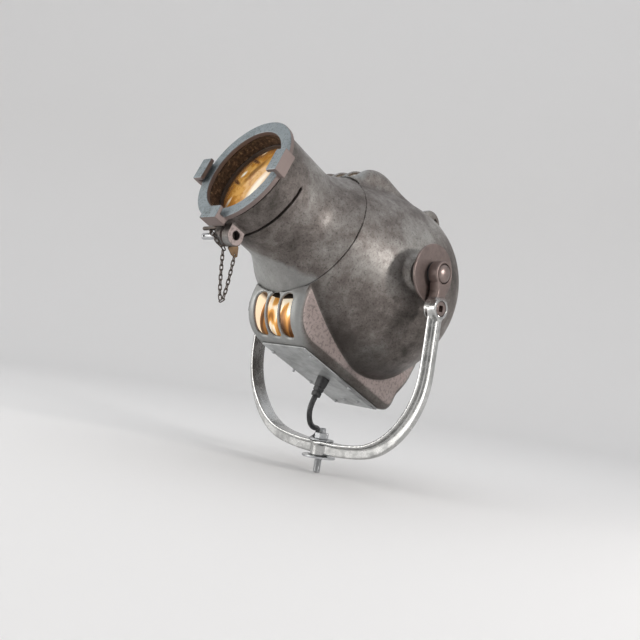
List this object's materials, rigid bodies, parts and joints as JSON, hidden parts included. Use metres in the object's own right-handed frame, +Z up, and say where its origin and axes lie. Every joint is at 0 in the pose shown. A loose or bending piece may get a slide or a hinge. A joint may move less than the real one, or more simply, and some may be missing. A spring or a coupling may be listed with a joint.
{
  "type": "theatre spotlight",
  "caption": "Theatre spotlight: cast housing with vent hood, focusing lens tube with colour-frame runners, and a bow yoke on a foot stud.",
  "frame": {"origin": "centre of the foot washer's lower face, on the pan axis", "axes": "+Z up along the pan axis, +X along the tilt axis, -Y the way that the lamp looks"},
  "size_m": [0.3661, 0.4069, 0.4312],
  "materials": {
    "cast_aluminium": "aged, mottled sand casting",
    "bare_aluminium": "bare, dull",
    "polished_aluminium": "polished",
    "zinc_steel": "zinc plated",
    "dark_steel": "darkened by heat",
    "pivot_steel": "worn satin",
    "brass": "tarnished",
    "sheet_steel": "plain sheet",
    "lens_glass": "clear, lit amber from inside",
    "bulb_glass": "clear",
    "ceramic": "glazed",
    "black_plastic": "satin"
  },
  "bodies": {
    "foot": {"foot_washer": "zinc_steel", "pivot_stud": "zinc_steel", "yoke_washer": "zinc_steel", "yoke_nut": "zinc_steel"},
    "yoke": {"yoke": "polished_aluminium", "near_socket_screw": "pivot_steel", "far_socket_screw": "pivot_steel", "cord_run": "black_plastic", "cord_coil": "black_plastic", "cord_clip_1": "black_plastic", "cord_clip_2": "black_plastic", "cord_clip_3": "black_plastic", "coil_strap": "black_plastic", "mains_plug": "black_plastic", "left_plug_pin": "zinc_steel", "right_plug_pin": "zinc_steel"},
    "lamp": {"rear_housing": "cast_aluminium", "front_snout": "cast_aluminium", "frame_pin": "dark_steel", "chain": "dark_steel", "chain_tab": "brass", "near_pivot_spacer": "zinc_steel", "far_pivot_spacer": "zinc_steel", "near_friction_disc": "pivot_steel", "far_friction_disc": "pivot_steel", "near_fibre_washer": "black_plastic", "far_fibre_washer": "black_plastic", "near_pivot_bolt": "pivot_steel", "far_pivot_bolt": "pivot_steel", "base_plate": "sheet_steel", "base_screw_1": "zinc_steel", "base_screw_2": "zinc_steel", "base_screw_3": "zinc_steel", "base_screw_4": "zinc_steel", "base_screw_5": "zinc_steel", "base_screw_6": "zinc_steel", "base_screw_7": "zinc_steel", "base_screw_8": "zinc_steel", "cord_boot": "black_plastic", "cord_drop": "black_plastic", "lampholder": "ceramic", "lamp_bulb": "bulb_glass", "reflector": "polished_aluminium", "reflector_bracket": "sheet_steel", "gate_plate": "dark_steel", "upper_baffle": "sheet_steel", "lower_baffle": "sheet_steel"},
    "lens_carriage": {"lens_tube": "dark_steel", "front_ring": "bare_aluminium", "lens": "lens_glass", "lens_retaining_ring": "zinc_steel"},
    "clamp": {"clamp_screw": "zinc_steel"}
  },
  "joints": [
    {"name": "yoke_pan", "type": "hinge", "parent": "foot", "child": "yoke", "pos_m": [0, 0, 0.0232], "axis": [0, 0, 1], "range_deg": [-175, 175]},
    {"name": "lamp_tilt", "type": "hinge", "parent": "yoke", "child": "lamp", "pos_m": [0, 0, 0.2572], "axis": [1, 0, 0], "range_deg": [-67, 60], "deforming": ["cord_drop"]},
    {"name": "focus_slide", "type": "slide", "parent": "lamp", "child": "lens_carriage", "axis": [0, -0.9212, 0.3891], "range_m": [0, 0.05]},
    {"name": "clamp_turn", "type": "hinge", "parent": "lamp", "child": "clamp", "pos_m": [0, -0.20787, 0.25979], "axis": [1, 0, 0], "range_deg": [-180, 180]}
  ]
}
